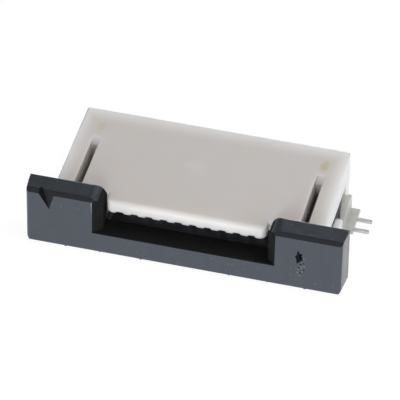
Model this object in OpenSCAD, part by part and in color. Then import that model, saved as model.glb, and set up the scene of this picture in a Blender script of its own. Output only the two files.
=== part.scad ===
// Slide-lock connector for a ten-way flat flexible cable, right-angle, surface-mount.
// Millimetres. X across the ways, Y from the cable mouth (-) to the solder tails (+),
// Z up from the board. Origin: middle of the housing body, on the board plane.

/* [Contacts] */
// distance between neighbouring contacts
pitch = 0.5; // [0.46:0.01:0.52]
// thickness of the stamped contact sheet
contact_t = 0.16; // [0.12:0.01:0.18]
// length of a solder tail beyond the rear wall
tail_out = 0.9; // [0.5:0.05:1.3]
// height of a solder tail above the board
tail_h = 0.14; // [0.1:0.01:0.18]
// lowest point of the upper contact arm
touch_z = 1.08; // [1.02:0.01:1.16]

/* [Housing] */
// width of the moulded body
body_w = 9.2; // [9:0.05:9.6]
// depth of the moulded body
body_d = 4.1; // [4:0.05:4.6]
// height of the moulded body above the board
body_h = 2.0; // [1.98:0.01:2.2]
// thickness of the top plate over the mouth
plate_t = 0.435; // [0.4:0.005:0.46]
// width of the lip that reaches out between the ears
lip_w = 5.44; // [5.3:0.02:5.56]
// how far the lip stands out from the body
lip_out = 0.47; // [0.3:0.01:0.6]
// plan radius of the lip's corners
lip_r = 0.25; // [0.1:0.01:0.4]
// radius along the lip's upper front edge
lip_top_r = 0.2; // [0.1:0.01:0.26]
// width of each groove under the top plate
groove_w = 0.26; // [0.22:0.01:0.3]
// depth of each groove under the top plate
groove_h = 0.065; // [0.05:0.005:0.1]
// width of the cable mouth
mouth_w = 5.8; // [5.7:0.01:5.9]
// thickness of the floor below the mouth
floor_t = 0.46; // [0.4:0.01:0.48]
// thickness of the rear wall that grips the contacts
rear_t = 0.85; // [0.7:0.05:1]
// distance from the centre to the inner wall of a side slot
slot_x = 3.74; // [3.65:0.01:3.76]
// width of a side slot
slot_w = 0.28; // [0.22:0.01:0.36]
// length of a side slot
slot_len = 2.7; // [2.4:0.05:2.9]
// width of the foot ledge at each side
ledge_w = 0.23; // [0.18:0.01:0.3]
// height of the foot ledge
ledge_h = 0.88; // [0.8:0.01:0.95]
// length of the foot ledge
ledge_len = 1.92; // [1.7:0.02:2]
// height of the gap below a side beam, where the latch hook shows
gate_top = 1.1; // [1.08:0.01:1.15]
// top of the wall behind a fitting nail
sill_h = 0.49; // [0.44:0.01:0.5]
// size of the small bevel on the body's outer top edges
body_bevel = 0.06; // [0.02:0.01:0.1]

/* [Slider] */
// width of the slider over its two ears
slider_w = 10.94; // [10.6:0.02:11.2]
// draft of the slider's end faces, wider at the back
end_draft = 0.09; // [0.04:0.01:0.12]
// sideways play of the slider, taken up to the right
side_play = 0.02; // [0:0.01:0.03]
// depth of the ears and the bar, front to back
ear_d = 0.82; // [0.7:0.01:1]
// top of the ears above the board
ear_top = 2.3; // [2.2:0.01:2.5]
// top of the bar below the cable mouth
bar_top = 0.86; // [0.84:0.01:0.95]
// clearance between the slider and the board
slider_lift = 0.02; // [0.01:0.01:0.05]
// distance between the two ears
ear_gap = 5.64; // [5.6:0.01:5.7]
// radius on the upper inner edge of an ear
ear_r = 0.44; // [0.15:0.01:0.5]
// radius on the slider's lower corners
corner_r = 0.22; // [0.08:0.01:0.3]
// bevel along the slider's upper front edges
front_bevel = 0.12; // [0.06:0.01:0.16]
// small bevel along the slider's other outer edges
edge_bevel = 0.05; // [0.02:0.01:0.08]
// size of the lead-in bevel on an ear's inner front edge
lead_in = 0.3; // [0.1:0.01:0.4]
// width of the tongue that lifts the cable
tongue_w = 5.4; // [5.2:0.02:5.42]
// length of the tongue behind the bar
tongue_len = 2.0; // [1.8:0.05:2.2]
// thickness of the tongue
tongue_t = 0.3; // [0.24:0.01:0.32]
// thickness of the wall outside a latch arm
side_wall = 0.25; // [0.2:0.01:0.28]
// slope at the closed end of a slot
slot_slope = 0.2; // [0.1:0.01:0.3]
// top of a latch arm above the board
arm_top = 1.05; // [1:0.01:1.06]
// height of a latch arm
arm_h = 0.54; // [0.44:0.01:0.56]
// top of the rib that stands in the open slot
rib_top = 1.7; // [1.3:0.01:1.8]
// distance the slider pulls out
travel = 0.95; // [0.8:0.01:1.1]

/* [Nails] */
// sheet thickness of a fitting nail
nail_t = 0.16; // [0.12:0.01:0.18]
// length of a nail's upright plate
nail_len = 1.52; // [1.4:0.02:1.7]
// top of a nail's upright plate
nail_top = 0.68; // [0.64:0.01:0.7]
// length of the tab that is soldered to the board
tab_len = 1.22; // [1:0.02:1.3]
// reach of the tab beyond the plate
tab_out = 0.31; // [0.2:0.01:0.4]
// thickness of the tab
tab_t = 0.1; // [0.08:0.01:0.14]
// reach of the right nail's prongs beyond the tab
prong_out = 0.51; // [0.3:0.01:0.6]
// reach of the left nail's prongs, cut short
short_prong_out = 0.06; // [0.04:0.01:0.5]
// width of a prong
prong_w = 0.13; // [0.1:0.01:0.2]
// distance between the two prongs, centre to centre
prong_step = 0.52; // [0.4:0.01:0.7]

/* [Fits] */
// running clearance between the slider and the housing
run_gap = 0.04; // [0.03:0.01:0.05]
// clearance around a contact or a nail seated in the housing
seat_gap = 0.01; // [0.005:0.005:0.02]

/* [Hidden] */
$fn = 32;
ways = 10;
eps = 0.01;
far = 6;
front_y = -body_d / 2;
rear_y = body_d / 2;
half_w = body_w / 2;
plate_z = body_h - plate_t;
wall_y = rear_y - rear_t;
beam_x = slot_x + slot_w;
slider_y = front_y - run_gap;
slider_y0 = slider_y - ear_d;
arm_x0 = slot_x + run_gap + side_play;
arm_x1 = half_w - side_wall - run_gap - side_play;
arm_z0 = arm_top - arm_h;
channel_x1 = half_w - side_wall;
channel_z0 = arm_z0 - run_gap;
channel_z1 = arm_top + run_gap;
channel_y1 = front_y + slot_len + 0.25;
arm_y1 = channel_y1 - 0.1;
latch_y0 = front_y + 1.83;
latch_y1 = arm_y1 - 0.05;
latch_x1 = half_w - 0.03 - side_play;
stop_y = latch_y0 - travel;
slot_y1 = front_y + slot_len;
rib_y1 = slot_y1 - slot_slope - run_gap;
rib_x1 = beam_x - run_gap - side_play;
latch_z0 = nail_top + 0.05;
gate_y1 = front_y + 3.37;
tongue_z1 = bar_top - 0.06;
tongue_z0 = tongue_z1 - tongue_t;
contact_floor = 0.22;
contact_top = plate_z + groove_h - 0.06;
root_y0 = wall_y + 0.1;
root_y1 = rear_y - 0.1;
sill_x = half_w + 0.06;
nail_x0 = sill_x + seat_gap;
nail_x1 = nail_x0 + nail_t;
nail_y0 = front_y + ledge_len + seat_gap;
nail_y1 = nail_y0 + nail_len;
tab_y0 = nail_y1 - tab_len;
prong_y0 = tab_y0 + 0.14;
barb_y0 = nail_y1 - 0.42;
barb_z0 = 0.14;
barb_l = 0.2;
barb_h = 0.2;

function way_x(i) = (i - (ways - 1) / 2) * pitch;

// Both sides of a part that is the same left and right.
module both_sides() {
  children();
  mirror([1, 0, 0]) children();
}

// A box from its low corner to its high corner.
module span(low, high) {
  translate(low) cube(high - low);
}

// A YZ outline pushed through from x0 to x1.
module side_profile(x0, x1, points) {
  translate([x0, 0, 0])
    rotate([90, 0, 90])
      linear_extrude(x1 - x0) polygon(points);
}

// A flat shape with round corners, standing on its centre.
module round_plan(w, d, r) {
  square([w - 2 * r, d], center = true);
  square([w, d - 2 * r], center = true);
  for (x = [-1, 1], y = [-1, 1])
    translate([x * (w / 2 - r), y * (d / 2 - r)]) circle(r);
}

// Square bar laid on an edge that runs along X, so that it takes a bevel off.
module bevel_x(x0, x1, y, z, size) {
  translate([x0, y, z])
    rotate([45, 0, 0])
      translate([0, -size / sqrt(2), -size / sqrt(2)])
        cube([x1 - x0, size * sqrt(2), size * sqrt(2)]);
}

// The same for an edge that runs along Y.
module bevel_y(x, y0, y1, z, size) {
  translate([x, y0, z])
    rotate([0, 45, 0])
      translate([-size / sqrt(2), 0, -size / sqrt(2)])
        cube([size * sqrt(2), y1 - y0, size * sqrt(2)]);
}

// The same for an edge that runs along Z.
module bevel_z(x, y, z0, z1, size) {
  translate([x, y, z0])
    rotate([0, 0, 45])
      translate([-size / sqrt(2), -size / sqrt(2), 0])
        cube([size * sqrt(2), size * sqrt(2), z1 - z0]);
}

// ---- Housing ----

module body_block() {
  span([-half_w, front_y, 0], [half_w, rear_y, body_h]);
}

// Foot ledges flush with the nails, in front of them.
module foot_ledge() {
  difference() {
    span([half_w - eps, front_y, 0], [half_w + ledge_w, front_y + ledge_len, ledge_h]);
    bevel_y(half_w + ledge_w, front_y - eps, front_y + ledge_len + eps, ledge_h, body_bevel / 2);
  }
  span([half_w - eps, front_y + ledge_len - eps, 0], [sill_x, nail_y1, sill_h]);
}

// Lip of the top plate, rounded in plan and along its upper front edge.
module lip() {
  difference() {
    translate([0, front_y - lip_out / 2 + lip_r, plate_z])
      linear_extrude(plate_t) round_plan(lip_w, lip_out + 2 * lip_r, lip_r);
    span([-half_w, front_y - lip_out - eps, body_h - lip_top_r],
         [half_w, front_y - lip_out + lip_top_r, body_h + eps]);
  }
  intersection() {
    translate([-lip_w / 2, front_y - lip_out + lip_top_r, body_h - lip_top_r])
      rotate([0, 90, 0]) cylinder(lip_w, r = lip_top_r);
    translate([0, front_y - lip_out / 2 + lip_r, plate_z])
      linear_extrude(plate_t) round_plan(lip_w, lip_out + 2 * lip_r, lip_r);
  }
}

// Room for the cable, the tongue and the contact arms.
module mouth_cut() {
  span([-mouth_w / 2, front_y - far, floor_t], [mouth_w / 2, wall_y, plate_z]);
}

// Rounded groove above each contact, open at the lip's front.
module plate_grooves() {
  for (i = [0:ways - 1])
    translate([way_x(i), wall_y + eps, plate_z])
      rotate([90, 0, 0])
        linear_extrude(body_d + lip_out) round_plan(groove_w, 2 * groove_h, groove_h * 0.7);
}

// Slot that grips each contact in the floor and the rear wall.
module contact_slots() {
  slot = contact_t + 2 * seat_gap;
  for (i = [0:ways - 1])
    translate([way_x(i) - slot / 2, 0, 0]) {
      span([0, front_y + 0.5, contact_floor - seat_gap], [slot, rear_y + eps, floor_t + eps]);
      span([0, wall_y - eps, floor_t - eps], [slot, rear_y + eps, contact_top + seat_gap]);
      span([0, root_y1 - 0.2 - seat_gap, -eps], [slot, rear_y + eps, contact_floor + eps]);
    }
}

// Open slot above a latch arm and the channel the arm runs in.
module arm_channel() {
  span([slot_x, front_y - eps, channel_z0], [channel_x1, channel_y1, channel_z1]);
  side_profile(slot_x, beam_x,
    [[front_y - eps, channel_z1 - eps], [slot_y1 - slot_slope, channel_z1 - eps],
     [slot_y1 - slot_slope, rib_top + run_gap], [slot_y1, body_h + eps], [front_y - eps, body_h + eps]]);
  side_profile(channel_x1 - eps, sill_x + eps,
    [[nail_y0 - seat_gap, sill_h], [gate_y1, sill_h], [gate_y1, gate_top - 0.04],
     [nail_y0 - seat_gap, gate_top]]);
  side_profile(channel_x1 - eps, half_w + ledge_w + eps,
    [[stop_y, ledge_h], [nail_y0, ledge_h], [nail_y0, gate_top], [stop_y, gate_top + 0.03]]);
  side_profile(channel_x1 - eps, half_w - 0.02,
    [[stop_y, sill_h + 0.16], [nail_y0, sill_h + 0.16], [nail_y0, ledge_h + eps], [stop_y, ledge_h + eps]]);
}

// Pocket for the nail's barb.
module barb_pocket() {
  span([channel_x1 + 0.04, barb_y0 - seat_gap, barb_z0 - seat_gap],
       [sill_x + eps, barb_y0 + barb_l + seat_gap, barb_z0 + barb_h + seat_gap]);
}

module housing_bevels() {
  bevel_x(-far, far, rear_y, body_h, body_bevel);
  for (s = [-1, 1]) {
    bevel_y(s * half_w, -far, far, body_h, body_bevel);
    bevel_z(s * half_w, rear_y, -1, far, body_bevel * 1.5);
  }
}

module housing() {
  color([0.86, 0.83, 0.78])
    difference() {
      union() {
        body_block();
        both_sides() foot_ledge();
        lip();
      }
      mouth_cut();
      plate_grooves();
      contact_slots();
      both_sides() {
        arm_channel();
        barb_pocket();
      }
      housing_bevels();
    }
}

// ---- Slider ----

// The slider seen from the front: two ears joined by the bar.
module front_shape() {
  h = ear_top - slider_lift;
  difference() {
    translate([0, slider_lift + h / 2]) square([slider_w, h], center = true);
    translate([-ear_gap / 2, bar_top]) square([ear_gap, far]);
    for (s = [-1, 1])
      translate([s * (ear_gap / 2 + ear_r), ear_top - ear_r])
        difference() {
          translate([-s * ear_r / 2, far / 2]) square([ear_r + eps, far], center = true);
          circle(ear_r);
        }
  }
}

// The slider seen from above, a little wider at the back.
module plan_shape() {
  w1 = slider_w / 2;
  w0 = w1 - end_draft;
  polygon([[-w0, slider_y0], [w0, slider_y0], [w1, slider_y], [-w1, slider_y]]);
}

// Lead-in on the inner front edge of an ear.
module ear_lead_in() {
  x0 = ear_gap / 2;
  translate([0, 0, bar_top])
    linear_extrude(far)
      polygon([[x0 - eps, slider_y0 - eps], [x0 + lead_in + eps, slider_y0 - eps], [x0 - eps, slider_y0 + lead_in + eps]]);
}

// Rounds a lower corner of the slider, along its drafted end face.
module lower_corner() {
  translate([slider_w / 2, slider_y, slider_lift])
    rotate([0, 0, -atan(end_draft / ear_d)])
      translate([-corner_r, far / 2, corner_r])
        rotate([90, 0, 0])
          linear_extrude(far)
            difference() {
              translate([0, -far]) square(far);
              circle(corner_r);
            }
}

// Broken V in the upper front edge of one ear: a wedge between two flat faces.
module edge_break() {
  way = [141.8, 27.4];
  sweep = [100.6, 147, 194.6];
  translate([-4.60, slider_y0, 1.56])
    rotate([0, way[1], way[0]])
      translate([0, 0, -0.3])
        linear_extrude(2)
          polygon(concat([[0, 0]], [for (a = sweep) [3 * cos(a), 3 * sin(a)]]));
}

// Torn-off gate on the front of the other ear.
module gate_scar() {
  translate([3.97, slider_y0 + 0.15, 1.42])
    rotate([90, 0, 0])
      linear_extrude(0.3)
        polygon([[-0.1, 0.1], [-0.06, 0.22], [0.02, 0.14], [0.1, 0.16], [0.05, 0.03],
                 [0.13, -0.04], [0.06, -0.1], [0.02, -0.2], [-0.05, -0.12], [-0.12, -0.08]]);
}

// Tongue with a thin tip, which lifts the cable onto the contacts.
module tongue() {
  tip_y = slider_y + tongue_len;
  side_profile(-tongue_w / 2, tongue_w / 2,
    [[slider_y - eps, tongue_z0], [tip_y, tongue_z0], [tip_y, tongue_z0 + 0.08],
     [tip_y - 0.7, tongue_z1], [slider_y - eps, tongue_z1]]);
}

// Latch arm with an outward hook that stops the slider at the end of its travel.
module latch_arm() {
  span([arm_x0, slider_y - eps, arm_z0], [rib_x1, rib_y1, rib_top]);
  span([arm_x0, slider_y - eps, arm_z0], [arm_x1, arm_y1, arm_top]);
  side_profile(arm_x1 - eps, latch_x1,
    [[latch_y0, latch_z0], [latch_y1, latch_z0], [latch_y1, latch_z0 + 0.12],
     [latch_y1 - 0.25, arm_top], [latch_y0, arm_top]]);
}

module slider_bevels() {
  bevel_x(-far, far, slider_y0, ear_top, front_bevel);
  bevel_x(-far, far, slider_y, ear_top, edge_bevel);
  bevel_x(-ear_gap / 2 - lead_in, ear_gap / 2 + lead_in, slider_y0, bar_top, edge_bevel / 2);
  bevel_x(-far, far, slider_y0, slider_lift, edge_bevel);
  for (s = [-1, 1]) {
    bevel_y(s * slider_w / 2, -far, far, ear_top, edge_bevel);
    bevel_z(s * (slider_w / 2 - end_draft), slider_y0, -1, far, edge_bevel);
    bevel_z(s * slider_w / 2, slider_y, -1, far, edge_bevel);
  }
}

module slider() {
  color([0.16, 0.165, 0.18]) translate([side_play, 0, 0]) {
    difference() {
      intersection() {
        translate([0, slider_y, 0]) rotate([90, 0, 0]) linear_extrude(ear_d) front_shape();
        linear_extrude(far) plan_shape();
      }
      both_sides() {
        ear_lead_in();
        lower_corner();
      }
      slider_bevels();
      edge_break();
      gate_scar();
    }
    tongue();
    both_sides() latch_arm();
  }
}

// ---- Contacts ----

// Stamped fork: upper arm with its touch point, lower arm, root and solder tail.
module contact(i) {
  arm_end = front_y + 0.85;
  color([0.80, 0.80, 0.78])
    side_profile(way_x(i) - contact_t / 2, way_x(i) + contact_t / 2,
      [[rear_y + tail_out, 0], [rear_y + tail_out, tail_h * 0.75], [rear_y + tail_out - 0.05, tail_h],
       [root_y1 + 0.06, tail_h], [root_y1, tail_h + 0.06], [root_y1, contact_top],
       [arm_end + 0.1, contact_top], [arm_end, contact_top - 0.1],
       [arm_end + 0.04, touch_z + 0.06], [arm_end + 0.12, touch_z], [arm_end + 0.22, touch_z],
       [arm_end + 0.32, touch_z + 0.08], [arm_end + 0.48, contact_top - 0.2],
       [wall_y - 0.2, contact_top - 0.26], [root_y0 - 0.08, contact_top - 0.3],
       [root_y0, contact_top - 0.4], [root_y0, 0.58], [root_y0 - 0.1, 0.46],
       [wall_y - 0.3, 0.42], [arm_end - 0.1, 0.40], [arm_end - 0.25, 0.34],
       [arm_end - 0.25, 0.28], [arm_end - 0.18, contact_floor],
       [root_y1 - 0.2, contact_floor], [root_y1 - 0.2, 0.06], [root_y1 - 0.14, 0]]);
}

module contact_01() { contact(0); }
module contact_02() { contact(1); }
module contact_03() { contact(2); }
module contact_04() { contact(3); }
module contact_05() { contact(4); }
module contact_06() { contact(5); }
module contact_07() { contact(6); }
module contact_08() { contact(7); }
module contact_09() { contact(8); }
module contact_10() { contact(9); }

// ---- Fitting nails ----

// Upright plate with a barb and a wing into the housing, and a tab with two prongs on the board.
module nail(reach) {
  tab_x1 = nail_x1 + tab_out;
  wing_x = [nail_x0 + eps, half_w, half_w - 0.05, channel_x1 + 0.08];
  wing_y = [nail_y0 + 0.22, nail_y0 + 0.63, nail_y0 + 1.09, nail_y1 - 0.06];
  color([0.74, 0.74, 0.73]) {
    span([nail_x0, nail_y0, 0], [nail_x1, nail_y1, nail_top]);
    translate([0, 0, sill_h + seat_gap])
      linear_extrude(nail_top - sill_h - seat_gap)
        polygon([[wing_x[0], wing_y[0]], [wing_x[1], wing_y[1]], [wing_x[2], wing_y[2]],
                 [wing_x[3], wing_y[3]], [wing_x[0], wing_y[3]]]);
    span([channel_x1 + 0.04 + seat_gap, barb_y0, barb_z0],
         [nail_x0 + eps, barb_y0 + barb_l, barb_z0 + barb_h]);
    span([nail_x1 - eps, tab_y0, 0], [tab_x1, nail_y1, tab_t]);
    for (step = [0, prong_step])
      span([tab_x1 - eps, prong_y0 + step, 0], [tab_x1 + reach, prong_y0 + step + prong_w, tab_t]);
  }
}

module fitting_nail_right() { nail(prong_out); }
module fitting_nail_left() { mirror([1, 0, 0]) nail(short_prong_out); }

housing();
slider();
contact_01();
contact_02();
contact_03();
contact_04();
contact_05();
contact_06();
contact_07();
contact_08();
contact_09();
contact_10();
fitting_nail_left();
fitting_nail_right();
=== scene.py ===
# %% [markdown]
# # Slide-lock connector for a flat flexible cable
#
# The real object is a tiny electronic connector, about eleven millimetres wide. A cream
# moulded housing holds ten stamped contacts. A black slider with two tall ears pulls out to
# let a cable in and pushes home to grip it. A soldered nail holds each side to the board.
#
# The solids come ready-made from the construction model. This lesson dresses them: it breaks
# the sharp edges, adds the small forms that a mould or a press leaves, and paints each
# finish with nodes. Blender's own unit is the metre, so one millimetre is 0.001.

import math
import random

import bmesh
import bpy
from mathutils import Matrix, Vector


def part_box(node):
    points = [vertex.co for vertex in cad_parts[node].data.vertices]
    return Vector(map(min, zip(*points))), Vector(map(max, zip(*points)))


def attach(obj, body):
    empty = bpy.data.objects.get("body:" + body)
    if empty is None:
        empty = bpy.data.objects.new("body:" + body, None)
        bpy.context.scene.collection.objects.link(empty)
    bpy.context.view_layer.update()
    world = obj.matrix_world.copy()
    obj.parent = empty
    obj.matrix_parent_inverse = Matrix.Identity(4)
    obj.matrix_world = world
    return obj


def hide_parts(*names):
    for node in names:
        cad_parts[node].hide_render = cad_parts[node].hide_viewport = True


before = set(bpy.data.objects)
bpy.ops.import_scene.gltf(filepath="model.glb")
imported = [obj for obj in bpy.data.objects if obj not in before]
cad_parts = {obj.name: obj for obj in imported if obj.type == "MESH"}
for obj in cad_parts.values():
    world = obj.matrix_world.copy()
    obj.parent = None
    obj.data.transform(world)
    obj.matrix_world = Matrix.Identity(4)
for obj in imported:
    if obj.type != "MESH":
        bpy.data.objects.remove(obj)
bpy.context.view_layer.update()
MM = 0.001

# %% [markdown]
# ## View settings and camera
#
# The Standard view shows colours as they are written. The camera is a long lens from some
# way off, as for a catalogue picture of a small part: from the front, a little to the right,
# looking down at about 42 degrees. A slight roll leans the picture by one degree.

# %% Camera
scene = bpy.context.scene
scene.view_settings.view_transform = "Standard"


def look_from(target, azimuth, elevation, roll, distance, lens):
    """A camera that looks at the target from an azimuth and elevation in degrees."""
    az, el, ro = (math.radians(a) for a in (azimuth, elevation, roll))
    back = Vector((math.sin(az) * math.cos(el), -math.cos(az) * math.cos(el), math.sin(el)))
    right = (-back).cross(Vector((0, 0, 1))).normalized()
    up = right.cross(-back).normalized()
    across = math.cos(ro) * right + math.sin(ro) * up
    upward = -math.sin(ro) * right + math.cos(ro) * up
    turn = Matrix((across, upward, back)).transposed().to_4x4()
    data = bpy.data.cameras.new("camera")
    data.lens = lens
    data.sensor_width = 36
    data.clip_start = 0.001
    data.clip_end = 10
    cam = bpy.data.objects.new("camera", data)
    cam.matrix_world = Matrix.Translation(target + back * distance) @ turn
    scene.collection.objects.link(cam)
    return cam


target = Vector((0.054, -0.732, 1.17)) * MM
scene.camera = look_from(target, 13.6, 41.64, 0.95, 130 * MM, 349.2)
print("camera at", [round(v, 4) for v in scene.camera.matrix_world.translation])

# %% [markdown]
# ## Node helpers
#
# Every finish below is a small node tree. A few helpers keep them readable: they add a node
# and set its fields, join sockets, do one sum, blend two colours or stretch a range of values.
# Others start a named group with its inputs and outputs, so an effect is built once and
# placed in each material with its own values.

# %% Node helpers
def add_node(tree, kind, **fields):
    """A node of a kind, with its fields set by name."""
    node = tree.nodes.new(kind)
    for key, value in fields.items():
        setattr(node, key, value)
    return node


def feed(tree, node, **values):
    """Sets a node's inputs by name (spaces written as _), from sockets or plain values."""
    for key, value in values.items():
        slot = node.inputs[int(key[1:])] if key[0] == "i" and key[1:].isdigit() \
            else node.inputs[key.replace("_", " ")]
        if isinstance(value, bpy.types.NodeSocket):
            tree.links.new(value, slot)
        else:
            slot.default_value = value
    return node


def sums(tree, operation, a, b=0.0, c=0.0):
    """One Math node on sockets or numbers."""
    node = add_node(tree, "ShaderNodeMath", operation=operation)
    feed(tree, node, i0=a, i1=b, i2=c)
    return node.outputs[0]


def blend_colours(tree, mask, a, b):
    """Colour a where the mask is 0, colour b where it is 1."""
    node = add_node(tree, "ShaderNodeMix", data_type="RGBA")
    for slot, value in ((node.inputs[0], mask), (node.inputs[6], a), (node.inputs[7], b)):
        if isinstance(value, bpy.types.NodeSocket):
            tree.links.new(value, slot)
        else:
            slot.default_value = value if slot.type == "VALUE" else (*value[:3], 1)
    return node.outputs[2]


def spread(tree, value, low, high, to_low=0.0, to_high=1.0):
    """Stretches a range of values smoothly over another range."""
    node = add_node(tree, "ShaderNodeMapRange", interpolation_type="SMOOTHSTEP")
    feed(tree, node, Value=value, From_Min=low, From_Max=high, To_Min=to_low, To_Max=to_high)
    return node.outputs[0]


def new_group(name, inputs, outputs):
    """An empty shader group with named sockets: {name: (type, default)} and {name: type}."""
    group = bpy.data.node_groups.new(name, "ShaderNodeTree")
    for label, (kind, default) in inputs.items():
        socket = group.interface.new_socket(label, in_out="INPUT", socket_type=kind)
        socket.default_value = default
    for label, kind in outputs.items():
        group.interface.new_socket(label, in_out="OUTPUT", socket_type=kind)
    return group, add_node(group, "NodeGroupInput").outputs, add_node(group, "NodeGroupOutput")


def place_group(tree, group, **values):
    """A copy of a group in a material, with its own values."""
    return feed(tree, add_node(tree, "ShaderNodeGroup", node_tree=group), **values)


def new_material(name):
    """A node material, its tree, its Principled shader and the place in millimetres."""
    mat = bpy.data.materials.new(name)
    mat.use_nodes = True
    tree = mat.node_tree
    here = add_node(tree, "ShaderNodeTexCoord").outputs["Object"]
    scale = add_node(tree, "ShaderNodeVectorMath", operation="SCALE")
    feed(tree, scale, i0=here, Scale=1 / MM)
    return mat, tree, tree.nodes["Principled BSDF"], scale.outputs[0]


VEC, NUM = "NodeSocketVector", "NodeSocketFloat"
print("node helpers ready")

# %% [markdown]
# ## Groups: grain of a moulded face, rubbed edges, a soft spot
#
# A mould is spark-eroded, so its faces carry a fine even grain under broad, faint clouds
# where the plastic cooled at different speeds. Two noise textures give both. An edge mask
# comes from the Bevel node: where the softened normal leaves the true one, an edge is near.
# A soft spot is an ellipsoid about a centre, for marks that sit at one place on the part.

# %% Moulded grain group
grain_group, gi, go = new_group(
    "moulded_grain",
    {"Place": (VEC, (0, 0, 0)), "Grain Size": (NUM, 30.0), "Cloud Size": (NUM, 1.2)},
    {"Cloud": NUM, "Grain": NUM, "Height": NUM})
cloud = add_node(grain_group, "ShaderNodeTexNoise")
feed(grain_group, cloud, Vector=gi["Place"], Scale=gi["Cloud Size"], Detail=3.0, Roughness=0.55)
fine = add_node(grain_group, "ShaderNodeTexNoise")
feed(grain_group, fine, Vector=gi["Place"], Scale=gi["Grain Size"], Detail=2.0, Roughness=0.6)
height = sums(grain_group, "MULTIPLY_ADD", cloud.outputs[0], 0.35, fine.outputs[0])
feed(grain_group, go, Cloud=spread(grain_group, cloud.outputs[0], 0.3, 0.7),
     Grain=fine.outputs[0], Height=height)
print(grain_group.name, [s.name for s in go.inputs if s.name])

# %% Rubbed edge group
edge_group, gi, go = new_group(
    "rubbed_edge", {"Width": (NUM, 0.00005), "Strength": (NUM, 1.0)}, {"Mask": NUM})
soft = feed(edge_group, add_node(edge_group, "ShaderNodeBevel", samples=6), Radius=gi["Width"])
true = add_node(edge_group, "ShaderNodeNewGeometry")
facing = add_node(edge_group, "ShaderNodeVectorMath", operation="DOT_PRODUCT")
feed(edge_group, facing, i0=soft.outputs[0], i1=true.outputs["True Normal"])
near = spread(edge_group, facing.outputs["Value"], 0.995, 0.8)
feed(edge_group, go, Mask=sums(edge_group, "MULTIPLY", near, gi["Strength"]))
print(edge_group.name)

# %% Soft spot group
spot_group, gi, go = new_group(
    "soft_spot",
    {"Place": (VEC, (0, 0, 0)), "Centre": (VEC, (0, 0, 0)), "Reach": (VEC, (1, 1, 1)),
     "Ragged": (NUM, 0.3)},
    {"Mask": NUM})
away = feed(spot_group, add_node(spot_group, "ShaderNodeVectorMath", operation="SUBTRACT"),
            i0=gi["Place"], i1=gi["Centre"])
share = feed(spot_group, add_node(spot_group, "ShaderNodeVectorMath", operation="DIVIDE"),
             i0=away.outputs[0], i1=gi["Reach"])
length = feed(spot_group, add_node(spot_group, "ShaderNodeVectorMath", operation="LENGTH"),
              i0=share.outputs[0])
rag = feed(spot_group, add_node(spot_group, "ShaderNodeTexNoise"),
           Vector=gi["Place"], Scale=6.0, Detail=3.0)
ragged = sums(spot_group, "MULTIPLY_ADD", sums(spot_group, "SUBTRACT", rag.outputs[0], 0.5),
              gi["Ragged"], length.outputs["Value"])
feed(spot_group, go, Mask=spread(spot_group, ragged, 1.0, 0.35))
print(spot_group.name)

# %% [markdown]
# ## Floor, world and lamps
#
# A small part is shown on a white table under soft light. The floor is a pale diffuse sheet.
# The camera and mirror-like reflections see it nearly as plain white through Light Path, with
# enough of the real shading left to keep the part's soft shadow. The world is dim: its
# reflected side is brighter behind the part than in front of it, as in a room with a lit wall.

# %% Floor
FLOOR_GLOW = 1.10
FLOOR_SHARE = 0.84


def make_floor(half=0.4):
    """A square of white table paper just under the part, in metres."""
    mesh = bpy.data.meshes.new("floor")
    corners = [(-half, -half, 0), (half, -half, 0), (half, half, 0), (-half, half, 0)]
    mesh.from_pydata(corners, [], [(0, 1, 2, 3)])
    floor = bpy.data.objects.new("floor", mesh)
    floor.location.z = -0.02 * MM
    scene.collection.objects.link(floor)
    mat = bpy.data.materials.new("table_paper")
    mat.use_nodes = True
    tree = mat.node_tree
    shader = tree.nodes["Principled BSDF"]
    feed(tree, shader, Base_Color=(0.86, 0.86, 0.86, 1), Roughness=0.9)
    glow = feed(tree, add_node(tree, "ShaderNodeEmission"), Color=(1, 1, 1, 1),
                Strength=FLOOR_GLOW)
    path = add_node(tree, "ShaderNodeLightPath").outputs
    seen = sums(tree, "MAXIMUM", path["Is Camera Ray"],
                sums(tree, "MAXIMUM", path["Is Glossy Ray"], path["Is Transmission Ray"]))
    mix = add_node(tree, "ShaderNodeMixShader")
    feed(tree, mix, i0=sums(tree, "MULTIPLY", seen, FLOOR_SHARE),
         i1=shader.outputs[0], i2=glow.outputs[0])
    tree.links.new(mix.outputs[0], tree.nodes["Material Output"].inputs[0])
    mesh.materials.append(mat)
    return floor


make_floor()
print("floor glows for camera and mirror rays at", FLOOR_GLOW)

# %% World
AMBIENT = 0.06
WALL_BEHIND = 0.16
ROOM_FRONT = 0.05

world = bpy.data.worlds.new("studio")
scene.world = world
world.use_nodes = True
tree = world.node_tree
tree.nodes.clear()
path = add_node(tree, "ShaderNodeLightPath").outputs
way = add_node(tree, "ShaderNodeTexCoord").outputs["Generated"]
split = feed(tree, add_node(tree, "ShaderNodeSeparateXYZ"), i0=way)
mirrored = spread(tree, split.outputs[1], -0.3, 0.6, ROOM_FRONT, WALL_BEHIND)
level = add_node(tree, "ShaderNodeMix", data_type="FLOAT")
feed(tree, level, i0=path["Is Glossy Ray"], i2=AMBIENT, i3=mirrored)
room = feed(tree, add_node(tree, "ShaderNodeBackground"), Color=(1, 1, 1, 1),
            Strength=level.outputs[0])
white = feed(tree, add_node(tree, "ShaderNodeBackground"), Color=(1, 1, 1, 1), Strength=1.0)
pick = feed(tree, add_node(tree, "ShaderNodeMixShader"), i0=path["Is Camera Ray"],
            i1=room.outputs[0], i2=white.outputs[0])
tree.links.new(pick.outputs[0], add_node(tree, "ShaderNodeOutputWorld").inputs[0])
print("world", world.name, "ambient", AMBIENT)

# %% [markdown]
# Five square softboxes light the part. The one in front is a little cool, which makes the
# cream front look neutral and the black front look faintly blue. Sizes are in metres.

# %% Lamps
COOL = (0.93, 0.985, 1.06)


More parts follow.
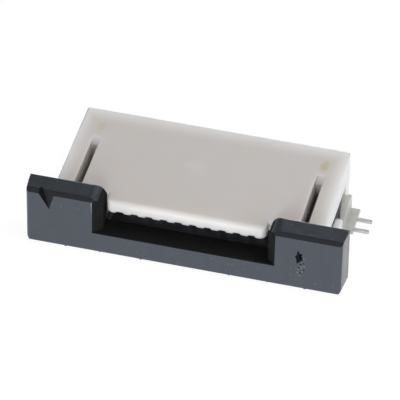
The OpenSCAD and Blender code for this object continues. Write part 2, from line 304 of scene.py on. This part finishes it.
def softbox(name, azimuth, elevation, distance, size, watts, tint=(1.0, 1.0, 1.0)):
    """A square lamp that faces the middle of the part."""
    az, el = math.radians(azimuth), math.radians(elevation)
    way = Vector((math.sin(az) * math.cos(el), -math.cos(az) * math.cos(el), math.sin(el)))
    data = bpy.data.lights.new(name, "AREA")
    data.shape = "SQUARE"
    data.size = size
    data.energy = watts
    data.color = tint
    lamp = bpy.data.objects.new(name, data)
    lamp.location = way * distance
    lamp.rotation_euler = way.to_track_quat("Z", "Y").to_euler()
    scene.collection.objects.link(lamp)
    return lamp


LAMP_DISTANCE = 0.3

softbox("front_softbox", -2, 9, LAMP_DISTANCE, 0.16, 0.80, COOL)
softbox("right_softbox", 78, 12, LAMP_DISTANCE, 0.16, 0.46)
softbox("back_softbox", 176, 10, LAMP_DISTANCE, 0.18, 0.54)
softbox("left_softbox", -84, 12, LAMP_DISTANCE, 0.16, 0.34)
softbox("top_softbox", 86, 66, LAMP_DISTANCE, 0.10, 0.19)

# %% [markdown]
# ## Cream housing plastic
#
# The housing is a pale heat-proof plastic, a little see-through, so light that enters a side
# wall comes out again near the edges and they look paler. Subsurface scattering gives part of
# that, and a paler colour painted towards the outer rim gives the rest, as painted light. The
# colour has faint clouds. A yellowish patch of painted light lies behind each slot, where light
# through the thin roof over the channel beneath looks yellower. A rubbed pale smudge lies in
# the middle of the plate.

# %% Cream plastic
CREAM = (0.80, 0.755, 0.735)
CREAM_WARM = (0.79, 0.74, 0.69)
PAINTED_ROOF_GLOW = (0.70, 0.61, 0.36)
RUBBED = (0.86, 0.84, 0.82)
PAINTED_RIM_GLOW = (0.96, 0.94, 0.92)

cream, tree, shader, place = new_material("cream_plastic")
grain = place_group(tree, grain_group, Place=place, Grain_Size=26.0, Cloud_Size=0.8).outputs
colour = blend_colours(tree, grain["Cloud"], CREAM, CREAM_WARM)
# Painted light: a yellowish patch behind each slot stands in for light through the thin roof over
# the channel beneath.
for centre, reach, strength in (((3.90, 1.08, 2.0), (0.20, 0.36, 0.5), 0.75),
                                ((-3.86, 1.12, 2.0), (0.20, 0.42, 0.5), 0.35)):
    spot = place_group(tree, spot_group, Place=place, Centre=centre, Reach=reach, Ragged=0.9)
    colour = blend_colours(tree, sums(tree, "MULTIPLY", spot.outputs[0], strength),
                           colour, PAINTED_ROOF_GLOW)
smudge = place_group(tree, spot_group, Place=place, Centre=(-0.36, 0.0, 2.0),
                     Reach=(0.5, 0.3, 0.4), Ragged=1.6)
colour = blend_colours(tree, sums(tree, "MULTIPLY", smudge.outputs[0], 0.35), colour, RUBBED)
across = feed(tree, add_node(tree, "ShaderNodeSeparateXYZ"), Vector=place).outputs
# Painted light: a paler colour towards the side and rear rims stands in for light glowing out of
# the thin walls.
rim = sums(tree, "MAXIMUM", spread(tree, sums(tree, "ABSOLUTE", across["X"]), 4.05, 4.65),
           spread(tree, across["Y"], 1.3, 2.1))
colour = blend_colours(tree, rim, colour, PAINTED_RIM_GLOW)
rub = place_group(tree, edge_group, Width=0.05 * MM, Strength=0.5)
colour = blend_colours(tree, rub.outputs[0], colour, RUBBED)
bump = feed(tree, add_node(tree, "ShaderNodeBump"), Strength=0.10, Distance=0.01 * MM,
            Height=grain["Height"])
feed(tree, shader, Base_Color=colour, Normal=bump.outputs[0],
     Roughness=spread(tree, grain["Grain"], 0.3, 0.7, 0.46, 0.56))
shader.inputs["Subsurface Weight"].default_value = 1.0
shader.inputs["Subsurface Scale"].default_value = 0.35 * MM
shader.inputs["Subsurface Radius"].default_value = (1.0, 0.94, 0.88)
print(cream.name, "nodes", len(tree.nodes))

# %% [markdown]
# ## Black lock plastic
#
# The slider is black plastic filled with glass fibre. It flows upward from the gate, so its
# faces carry faint upright streaks, and short fibres near the skin show as tiny pale flecks.
# The streaks are one noise squeezed sideways. They drive both colour and roughness.
#
# Torn and sheltered faces get a rough black of their own, and its darkness is painted shade:
# the shade that falls in the crater of the gate, in the recess between the ears and on the
# broken facets is put into the colour, from the darkest in the crater to a dark grey on the
# broken facets.

# %% Flow streak group
streak_group, gi, go = new_group(
    "flow_streaks", {"Place": (VEC, (0, 0, 0)), "Count": (NUM, 9.0)},
    {"Streak": NUM, "Fleck": NUM})
squeeze = feed(streak_group, add_node(streak_group, "ShaderNodeVectorMath", operation="MULTIPLY"),
               i0=gi["Place"], i1=(1.0, 1.0, 0.16))
lines = feed(streak_group, add_node(streak_group, "ShaderNodeTexNoise"),
             Vector=squeeze.outputs[0], Scale=gi["Count"], Detail=3.0, Roughness=0.6)
cells = feed(streak_group, add_node(streak_group, "ShaderNodeTexVoronoi"),
             Vector=gi["Place"], Scale=7.0)
rare = feed(streak_group, add_node(streak_group, "ShaderNodeSeparateColor"),
            i0=cells.outputs["Color"])
fleck = sums(streak_group, "MULTIPLY", spread(streak_group, cells.outputs["Distance"], 0.24, 0.10),
             sums(streak_group, "GREATER_THAN", rare.outputs[0], 0.86))
feed(streak_group, go, Streak=spread(streak_group, lines.outputs[0], 0.3, 0.7), Fleck=fleck)
print(streak_group.name)

# %% Black plastic
BLACK = (0.010, 0.011, 0.012)
BLACK_GREY = (0.018, 0.020, 0.023)
FIBRE = (0.20, 0.21, 0.22)


def black_material(name, dark, pale, fibre_share, low_gloss, high_gloss, relief):
    """Black moulded plastic, between its darkest and palest flow lines."""
    mat, tree, shader, place = new_material(name)
    grain = place_group(tree, grain_group, Place=place, Grain_Size=34.0, Cloud_Size=1.4).outputs
    flow = place_group(tree, streak_group, Place=place, Count=3.0).outputs
    tone = sums(tree, "MULTIPLY_ADD", flow["Streak"], 0.6,
                sums(tree, "MULTIPLY", grain["Cloud"], 0.4))
    colour = blend_colours(tree, tone, dark, pale)
    colour = blend_colours(tree, sums(tree, "MULTIPLY", flow["Fleck"], fibre_share), colour, FIBRE)
    rub = place_group(tree, edge_group, Width=0.04 * MM, Strength=0.35)
    colour = blend_colours(tree, rub.outputs[0], colour, FIBRE)
    height = sums(tree, "MULTIPLY_ADD", flow["Streak"], 0.5, grain["Height"])
    bump = feed(tree, add_node(tree, "ShaderNodeBump"), Strength=relief, Distance=0.012 * MM,
                Height=height)
    feed(tree, shader, Base_Color=colour, Normal=bump.outputs[0],
         Roughness=spread(tree, tone, 0.1, 0.9, high_gloss, low_gloss))
    shader.inputs["IOR"].default_value = 1.84
    shader.inputs["Coat Weight"].default_value = 0.25
    shader.inputs["Coat Roughness"].default_value = 0.22
    shader.inputs["Specular Tint"].default_value = (0.70, 0.81, 1.0, 1.0)
    return mat


def painted_shade_black(name, dark, pale):
    """Rough black plastic with painted shade, for torn and sheltered faces."""
    mat, tree, shader, place = new_material(name)
    grain = place_group(tree, grain_group, Place=place, Grain_Size=40.0, Cloud_Size=6.0).outputs
    bump = feed(tree, add_node(tree, "ShaderNodeBump"), Strength=0.6, Distance=0.02 * MM,
                Height=grain["Height"])
    feed(tree, shader, Base_Color=blend_colours(tree, grain["Grain"], dark, pale),
         Normal=bump.outputs[0], Roughness=spread(tree, grain["Cloud"], 0.0, 1.0, 0.8, 0.95))
    shader.inputs["IOR"].default_value = 1.2
    return mat


black = black_material("black_plastic", BLACK, BLACK_GREY, 0.4, 0.28, 0.36, 0.10)
# Painted shade: the crater, the recess between the ears and the broken facets get these darker
# blacks in place of the shade that falls there.
pit_painted_shade = painted_shade_black("pit_painted_shade", (0.003, 0.003, 0.004), (0.010, 0.011, 0.013))
recess_painted_shade = painted_shade_black("recess_painted_shade", (0.009, 0.009, 0.009), (0.015, 0.015, 0.015))
broken_painted_shade = painted_shade_black("broken_painted_shade", (0.018, 0.019, 0.021), (0.030, 0.031, 0.034))
torn = black_material("torn_black_plastic", BLACK, (0.16, 0.165, 0.17), 1.0, 0.30, 0.6, 0.5)
print([m.name for m in (black, pit_painted_shade, recess_painted_shade, broken_painted_shade, torn)])

# %% [markdown]
# ## Tin-plated metal
#
# Contacts and nails are stamped from strip and plated with matt tin. The press leaves the
# rolled face smooth and the cut edges dull. Matt tin is a metal with fairly high roughness,
# broken into small grey clouds, which is what a noise on roughness and colour gives.

# %% Tin plating
def tin_material(name, bright, dull, gloss, dull_gloss, metal=1.0):
    """Tin plating, between its bright rolled face and its dull clouds and edges."""
    mat, tree, shader, place = new_material(name)
    grain = place_group(tree, grain_group, Place=place, Grain_Size=22.0, Cloud_Size=3.0).outputs
    rub = place_group(tree, edge_group, Width=0.03 * MM, Strength=0.6)
    tone = sums(tree, "MAXIMUM", grain["Cloud"], rub.outputs[0])
    bump = feed(tree, add_node(tree, "ShaderNodeBump"), Strength=0.12, Distance=0.006 * MM,
                Height=grain["Height"])
    feed(tree, shader, Base_Color=blend_colours(tree, tone, bright, dull), Normal=bump.outputs[0],
         Roughness=spread(tree, tone, 0.0, 1.0, gloss, dull_gloss))
    shader.inputs["Metallic"].default_value = metal
    return mat


contact_tin = tin_material("contact_tin", (0.80, 0.79, 0.76), (0.66, 0.65, 0.62), 0.28, 0.42)
nail_tin = tin_material("nail_tin", (0.64, 0.64, 0.62), (0.56, 0.56, 0.54), 0.42, 0.52, 0.6)
print(contact_tin.name, nail_tin.name)

# %% [markdown]
# ## Dressing a solid
#
# The frame's meshes are split into triangles. A piece made from one copies it, joins the
# triangles back into whole faces, and bevels the long sharp edges in mesh code, because no
# moulded or stamped edge is truly sharp. Inner corners stay as they are, so that nothing
# grows into a gap. Large and square-on faces are shaded flat, and weighted normals keep the
# rest even.

# %% Dress a solid
SHARP = math.radians(30)
LARGE_FACE = 1.0 * MM * MM
HOUSING_EDGE, SLIDER_EDGE = 0.018 * MM, 0.022 * MM
CONTACT_EDGE, NAIL_EDGE = 0.008 * MM, 0.012 * MM


def long_sharp_edges(bm, shortest, spare):
    """Outward edges that turn enough, aren't short arc steps and aren't spared."""
    return [e for e in bm.edges if e.is_manifold and e.is_convex and e.calc_face_angle(0) > SHARP
            and e.calc_length() > shortest and not spare(e)]


def smooth_by_angle(bm, angle=math.radians(38)):
    """Smooth shading on rounds only."""
    for face in bm.faces:
        square_on = max(abs(part) for part in face.normal) > 0.9999
        face.smooth = not square_on and face.calc_area() < LARGE_FACE
    for edge in bm.edges:
        edge.smooth = not edge.is_manifold or edge.calc_face_angle(0) < angle


def finish_piece(bm, name, mats, body):
    """Turns a bmesh into an object that rides on a body and takes a material slot's finish."""
    bmesh.ops.recalc_face_normals(bm, faces=bm.faces)
    smooth_by_angle(bm)
    mesh = bpy.data.meshes.new(name)
    bm.to_mesh(mesh)
    bm.free()
    for mat in mats:
        mesh.materials.append(mat)
    piece = bpy.data.objects.new(name, mesh)
    scene.collection.objects.link(piece)
    weighted = piece.modifiers.new("flat_faces", "WEIGHTED_NORMAL")
    weighted.keep_sharp = True
    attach(piece, body)
    return piece


def whole_faces(node):
    """A node's mesh as a bmesh with its triangles joined."""
    bm = bmesh.new()
    bm.from_mesh(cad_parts[node].data)
    bmesh.ops.remove_doubles(bm, verts=bm.verts, dist=0.0002 * MM)
    bmesh.ops.dissolve_limit(bm, angle_limit=math.radians(0.5), verts=bm.verts, edges=bm.edges)
    return bm


def break_edges(bm, width, segments=2, spare=lambda edge: False):
    """Bevels the sharp edges that are longer than four times the bevel's width."""
    bmesh.ops.bevel(bm, geom=long_sharp_edges(bm, width * 4, spare), offset=width,
                    segments=segments, profile=0.5, affect="EDGES", clamp_overlap=False)


print("dress helpers ready")

# %% [markdown]
# ## Housing
#
# The housing is one moulding: a box with a thin top plate over the cable mouth, a lip that
# reaches out over the bar, a slot with a sloped end over each latch arm, and foot ledges
# beside the nails. Only its edges are broken here, by about two hundredths of a millimetre.

# %% Housing shell
bm = whole_faces("housing")
break_edges(bm, HOUSING_EDGE)
housing = finish_piece(bm, "housing_shell", [cream], "base")
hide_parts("housing")
print(housing.name, "faces", len(housing.data.polygons))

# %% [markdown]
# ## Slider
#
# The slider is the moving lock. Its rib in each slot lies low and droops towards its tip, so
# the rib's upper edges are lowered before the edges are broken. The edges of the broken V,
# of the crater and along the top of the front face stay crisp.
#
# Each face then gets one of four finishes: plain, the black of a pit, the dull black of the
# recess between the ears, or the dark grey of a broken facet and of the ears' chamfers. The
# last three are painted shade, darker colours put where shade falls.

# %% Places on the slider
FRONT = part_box("slider")[0][1]
NOTCH = ((-5.02, -4.15), (1.5, 2.4))
CRATER = ((3.80, 4.15), (1.15, 1.70))
PLAIN, PIT_SHADE, RECESS_SHADE, BROKEN_SHADE = range(4)


def within(point, area):
    """True where a point lies in an x and z area and near the front face."""
    (x0, x1), (z0, z1) = area
    x, y, z = (c / MM for c in point)
    return x0 < x < x1 and z0 < z < z1 and y < FRONT / MM + 0.7


def crisp(edge):
    """Edges of the torn places, and the upper edges of the front face."""
    torn_edge = any(all(within(v.co, area) for v in edge.verts) for area in (NOTCH, CRATER))
    a, b = (v.co for v in edge.verts)
    upper = max(a.y, b.y) < FRONT + 0.02 * MM and abs(a.z - b.z) < 0.01 * MM < a.z - 0.5 * MM
    return torn_edge or upper


def finish_of(face):
    """The finish of a face, from where and which way it faces; three finishes paint shade."""
    middle, way = face.calc_center_median(), face.normal
    # Painted shade: pits, the facets of the broken V by the way they face, the ears' chamfers and
    # the sheltered faces between the ears get darker blacks.
    if within(middle, CRATER) and middle.y > FRONT + 0.01 * MM:
        return PIT_SHADE
    if within(middle, NOTCH) and abs(way.x) > 0.2:
        return PIT_SHADE if way.x > 0 else BROKEN_SHADE
    if middle.z > 1.8 * MM and way.y < -0.2 and way.z > 0.2:
        return BROKEN_SHADE
    between = abs(middle.x) < 3.3 * MM and middle.z > 0.8 * MM
    sheltered = way.y > -0.9 or middle.y > FRONT + 0.3 * MM
    return RECESS_SHADE if between and sheltered and (way.z < 0.7 or middle.z < 1.2 * MM) else PLAIN


print("front face at", round(FRONT / MM, 2), "mm")

# %% Slider
RIB_TOP, RIB_LOWER, RIB_DROOP = 1.7 * MM, 0.28 * MM, 0.10 * MM

bm = whole_faces("slider")
for v in bm.verts:
    if abs(v.co.z - RIB_TOP) < 0.01 * MM:
        v.co.z -= RIB_LOWER + (RIB_DROOP if v.co.y > 0 else 0.0)
break_edges(bm, SLIDER_EDGE, spare=crisp)
bm.normal_update()
for face in bm.faces:
    face.material_index = finish_of(face)
marked = [sum(f.material_index == k for f in bm.faces) for k in (PLAIN, PIT_SHADE, RECESS_SHADE, BROKEN_SHADE)]
slider = finish_piece(bm, "lock_slider", [black, pit_painted_shade, recess_painted_shade, broken_painted_shade],
                      "lock")
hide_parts("slider")
print(slider.name, "faces", len(slider.data.polygons), "finishes", marked)

# %% [markdown]
# ## Contacts and fitting nails
#
# The contacts are stamped from thin strip, so each is a flat plate with crisp edges that are
# only just broken. A nail is bent from wider strip, with an upright plate at the housing's
# side and a tab with two prongs on the board. Its edges are a little rounder.

# %% Contacts
for name in sorted(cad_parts):
    if name.startswith("contact_"):
        bm = whole_faces(name)
        break_edges(bm, CONTACT_EDGE, 1)
        piece = finish_piece(bm, name + "_strip", [contact_tin], "base")
        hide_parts(name)
print("contacts", sum(n.startswith("contact_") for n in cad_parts))

# %% Fitting nails
for name in ("fitting_nail_right", "fitting_nail_left"):
    bm = whole_faces(name)
    break_edges(bm, NAIL_EDGE)
    piece = finish_piece(bm, name + "_strip", [nail_tin], "base")
    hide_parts(name)
    print(name, "faces", len(piece.data.polygons))

# %% [markdown]
# ## Torn gate and flash
#
# The plastic is snapped off its runner at the gate, which leaves a small crater with flakes
# below it on the front of the right ear. A flake is a small kite made from points, pale where
# the plastic whitened. The dark flakes are painted shade, black specks that widen the dark
# of the crater and stand in for the shadows among the flakes. Along the lower front edge,
# where the mould halves meet, a few thin flakes of flash stand out.

# %% Shards
random.seed(11)


def shard(bm, centre, size, turn, lift, tone=0):
    """A thin kite in the front plane, in millimetres, with its tip lifted most."""
    c, s = math.cos(turn), math.sin(turn)
    outline = [(-0.5, 0.0), (0.0, -0.32), (0.55, 0.02), (0.05, 0.3)]
    ring = []
    for depth in (0.0, 1.0):
        for k, (u, w) in enumerate(outline):
            x = centre[0] + size * (u * c - w * s)
            z = centre[2] + size * (u * s + w * c)
            out = lift * (1.0 if k == 2 else 0.5) - depth * 2 * lift
            ring.append(bm.verts.new((x * MM, (centre[1] - out) * MM, z * MM)))
    front, back = ring[:4], ring[4:]
    made = [bm.faces.new(front), bm.faces.new(back[::-1])]
    for k in range(4):
        made.append(bm.faces.new((front[k], back[k], back[(k + 1) % 4], front[(k + 1) % 4])))
    for face in made:
        face.material_index = tone


front = FRONT / MM
PALE, SHADE_TONE = 0, 1
# Painted shade: the dark flakes take the pit's black for the shadows in and around the crater.
SHADE_FLAKES = (
    (3.91, 1.40, 0.26, 1.5), (3.94, 1.26, 0.24, 1.2), (3.95, 1.57, 0.18, 1.8),
    (4.05, 1.33, 0.13, 2.4), (4.02, 1.12, 0.10, 1.0), (4.12, 1.17, 0.08, 2.0),
    (3.97, 0.95, 0.09, 1.2), (4.13, 0.87, 0.08, 0.4), (4.01, 0.72, 0.08, 2.2))
PALE_FLAKES = (
    (3.98, 1.62, 0.10, 1.2), (4.12, 1.38, 0.10, 0.4), (4.04, 1.18, 0.08, 0.9),
    (4.14, 1.05, 0.10, 2.2), (4.05, 0.98, 0.10, 1.4), (3.95, 0.88, 0.08, 1.9),
    (4.08, 0.80, 0.10, 1.0), (3.93, 0.74, 0.08, 0.7), (4.02, 0.62, 0.07, 2.0),
    (4.54, 0.37, 0.06, 0.3), (2.63, 0.63, 0.06, 1.3))

bm = bmesh.new()
for tone, flakes in ((SHADE_TONE, SHADE_FLAKES), (PALE, PALE_FLAKES)):
    for x, z, size, turn in flakes:
        shard(bm, (x, front, z), size * random.uniform(1.0, 1.3), turn, 0.004, tone)
shards = finish_piece(bm, "gate_shards", [torn, pit_painted_shade], "lock")
print(shards.name, "faces", len(shards.data.polygons))

# %% Flash along the lower edge
FLASH = ((-4.04, 0.10), (-2.86, 0.07), (-1.44, 0.13), (1.58, 0.07), (4.17, 0.11), (2.9, 0.06))
FLASH_INSET = 0.03

bm = bmesh.new()
low_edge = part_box("slider")[0][2] / MM
for x, size in FLASH:
    shard(bm, (x, front + FLASH_INSET, low_edge + FLASH_INSET), size,
          random.uniform(-0.4, 0.4), 0.02)
flash = finish_piece(bm, "mould_flash", [black], "lock")
print(flash.name, "faces", len(flash.data.polygons))
